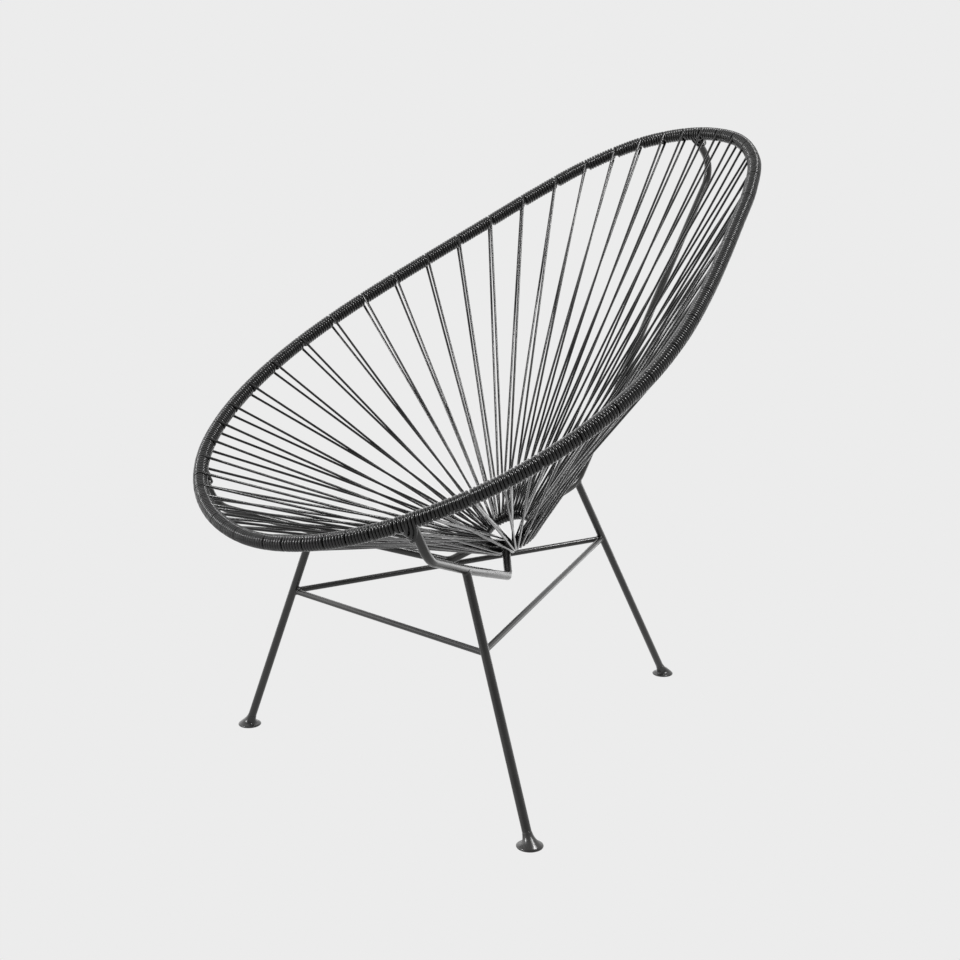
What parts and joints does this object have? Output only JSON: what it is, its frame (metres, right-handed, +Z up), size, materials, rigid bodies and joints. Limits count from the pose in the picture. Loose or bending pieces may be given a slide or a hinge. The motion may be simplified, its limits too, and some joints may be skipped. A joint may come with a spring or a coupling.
{
  "type": "lounge chair",
  "caption": "Round lounge chair with a web of plastic cord strung between an egg-shaped steel ring and a small inner ring, on three splayed rod legs.",
  "frame": {"origin": "on the floor, under the middle of the chair's bounding box", "axes": "+Z up; the chair faces -Y, so +Y points to its back; +X points to the sitter's left"},
  "size_m": [0.7082, 0.9392, 0.913],
  "materials": {
    "frame": "satin black powder coat",
    "cord": "glossy black round cord"
  },
  "bodies": {
    "root": {"outer_ring": "frame", "inner_ring": "frame", "hoop_front_left": "frame", "hoop_front_right": "frame", "hoop_rear": "frame", "leg_front_left": "frame", "leg_front_right": "frame", "leg_rear": "frame", "foot_front_left": "frame", "foot_front_right": "frame", "foot_rear": "frame", "stretcher_front": "frame", "stretcher_left": "frame", "stretcher_right": "frame", "seat_cord_01": "cord", "seat_cord_02": "cord", "seat_cord_03": "cord", "seat_cord_04": "cord", "seat_cord_05": "cord", "seat_cord_06": "cord", "seat_cord_07": "cord", "seat_cord_08": "cord", "seat_cord_09": "cord", "seat_cord_10": "cord", "seat_cord_11": "cord", "seat_cord_12": "cord", "seat_cord_13": "cord", "seat_cord_14": "cord", "seat_cord_15": "cord", "seat_cord_16": "cord", "seat_cord_17": "cord", "seat_cord_18": "cord"}
  },
  "joints": []
}
